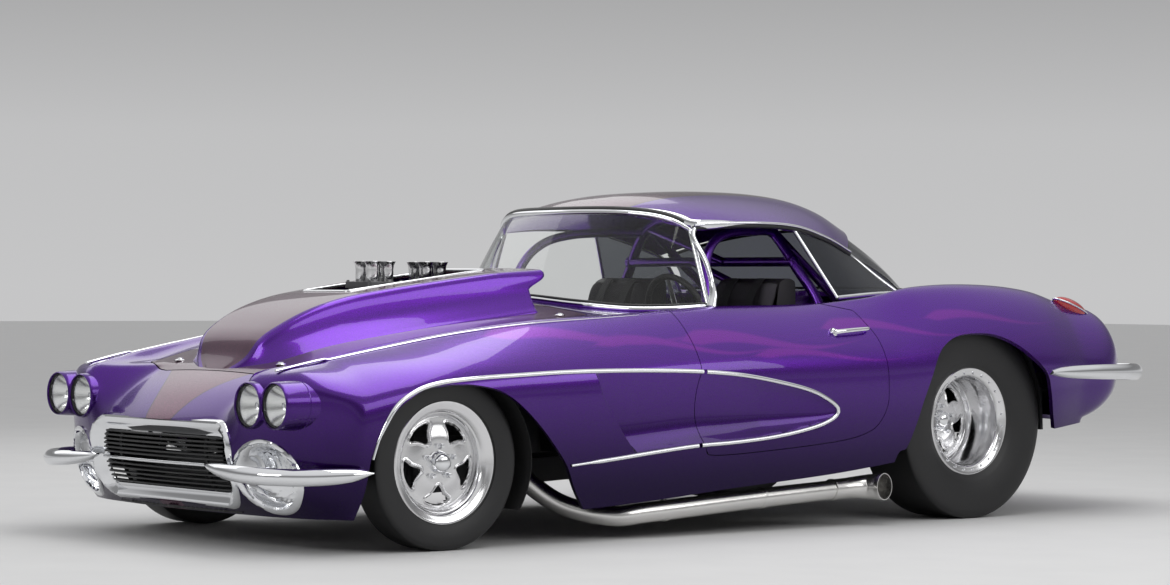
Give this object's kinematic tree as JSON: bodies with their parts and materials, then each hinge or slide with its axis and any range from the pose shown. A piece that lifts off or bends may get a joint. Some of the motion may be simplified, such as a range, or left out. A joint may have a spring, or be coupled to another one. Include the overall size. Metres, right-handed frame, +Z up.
{
  "type": "drag racing car",
  "caption": "Chopped and lowered hardtop drag racing car with an open hood scoop, velocity stacks, roll cage and wide slicks.",
  "frame": {"origin": "centre of the footprint, on the ground", "axes": "+X to the car's left, the driver's side; +Y to the rear, along the length; +Z up"},
  "size_m": [1.88, 4.5458, 1.3014],
  "materials": {
    "paint": "gloss",
    "cage_paint": "gloss",
    "chrome": "mirror",
    "polished": "polished",
    "black": "satin",
    "steel": "satin",
    "tyre": "matt",
    "glass": "clear",
    "lens": "clear",
    "red_lens": "clear"
  },
  "bodies": {
    "root": {"chassis_frame": "steel", "front_clip": "paint", "rear_body": "paint", "roof_shell": "paint", "floor_pan": "black", "trunk_floor": "black", "dash": "black", "engine": "steel", "carburettors": "polished", "rear_axle": "steel", "side_pipe_left": "polished", "side_pipe_right": "polished", "cage_hoop": "cage_paint", "cage_left": "cage_paint", "cage_right": "cage_paint", "seat_driver": "black", "seat_passenger": "black", "windshield_frame": "chrome", "windshield_glass": "glass", "rear_glass": "glass", "rear_glass_base": "chrome", "quarter_glass_left": "glass", "quarter_glass_right": "glass", "window_rail_left": "chrome", "window_rail_right": "chrome", "front_bumper_left": "chrome", "front_bumper_right": "chrome", "rear_bumper_left": "chrome", "rear_bumper_right": "chrome", "grille_surround": "chrome", "grille_bars": "black", "nostril_left": "chrome", "nostril_right": "chrome", "headlamps_left": "lens", "headlamps_right": "lens", "tail_lamp_left": "red_lens", "tail_lamp_right": "red_lens"},
    "knuckle_left": {"knuckle_left": "steel"},
    "knuckle_right": {"knuckle_right": "steel"},
    "wheel_front_left": {"rim_front_left": "polished", "tyre_front_left": "tyre"},
    "wheel_front_right": {"rim_front_right": "polished", "tyre_front_right": "tyre"},
    "wheel_rear_left": {"rim_rear_left": "polished", "tyre_rear_left": "tyre"},
    "wheel_rear_right": {"rim_rear_right": "polished", "tyre_rear_right": "tyre"},
    "door_left": {"door_left": "paint"},
    "door_right": {"door_right": "paint"},
    "hood": {"hood": "paint"},
    "trunk_lid": {"trunk_lid": "paint"},
    "steering_wheel": {"steering_wheel": "black"}
  },
  "joints": [
    {"name": "steer_left", "type": "hinge", "parent": "root", "child": "knuckle_left", "pos_m": [0.6, -1.5451, 0.30408], "axis": [0, 0, 1], "range_deg": [-20, 20]},
    {"name": "steer_right", "type": "hinge", "parent": "root", "child": "knuckle_right", "pos_m": [-0.6, -1.5451, 0.30408], "axis": [0, 0, 1], "range_deg": [-20, 20]},
    {"name": "wheel_front_left_spin", "type": "hinge", "parent": "knuckle_left", "child": "wheel_front_left", "pos_m": [0.7585, -1.5451, 0.30408], "axis": [1, 0, 0], "continuous": true},
    {"name": "wheel_rear_left_spin", "type": "hinge", "parent": "root", "child": "wheel_rear_left", "pos_m": [0.684, 1.1039, 0.38755], "axis": [1, 0, 0], "continuous": true},
    {"name": "wheel_front_right_spin", "type": "hinge", "parent": "knuckle_right", "child": "wheel_front_right", "pos_m": [-0.7585, -1.5451, 0.30408], "axis": [1, 0, 0], "continuous": true},
    {"name": "wheel_rear_right_spin", "type": "hinge", "parent": "root", "child": "wheel_rear_right", "pos_m": [-0.684, 1.1039, 0.38755], "axis": [1, 0, 0], "continuous": true},
    {"name": "door_left_hinge", "type": "hinge", "parent": "root", "child": "door_left", "pos_m": [0.908, -0.4401, 0.5025], "axis": [0, 0, -1], "range_deg": [0, 65]},
    {"name": "door_right_hinge", "type": "hinge", "parent": "root", "child": "door_right", "pos_m": [-0.908, -0.4401, 0.5025], "axis": [0, 0, 1], "range_deg": [0, 65]},
    {"name": "hood_lift", "type": "slide", "parent": "root", "child": "hood", "axis": [0, 0, 1], "range_m": [0, 0.5]},
    {"name": "trunk_lid_hinge", "type": "hinge", "parent": "root", "child": "trunk_lid", "pos_m": [0, 1.2549, 0.8977], "axis": [1, 0, 0], "range_deg": [0, 60]},
    {"name": "steering_wheel_turn", "type": "hinge", "parent": "root", "child": "steering_wheel", "pos_m": [0.37, -0.0901, 0.8], "axis": [0, 0.9512, 0.3086], "range_deg": [-210, 210]}
  ],
  "couplings": [
    {"joint": "steer_right", "follows": "steer_left", "ratio": 1},
    {"joint": "steering_wheel_turn", "follows": "steer_left", "ratio": 10}
  ]
}
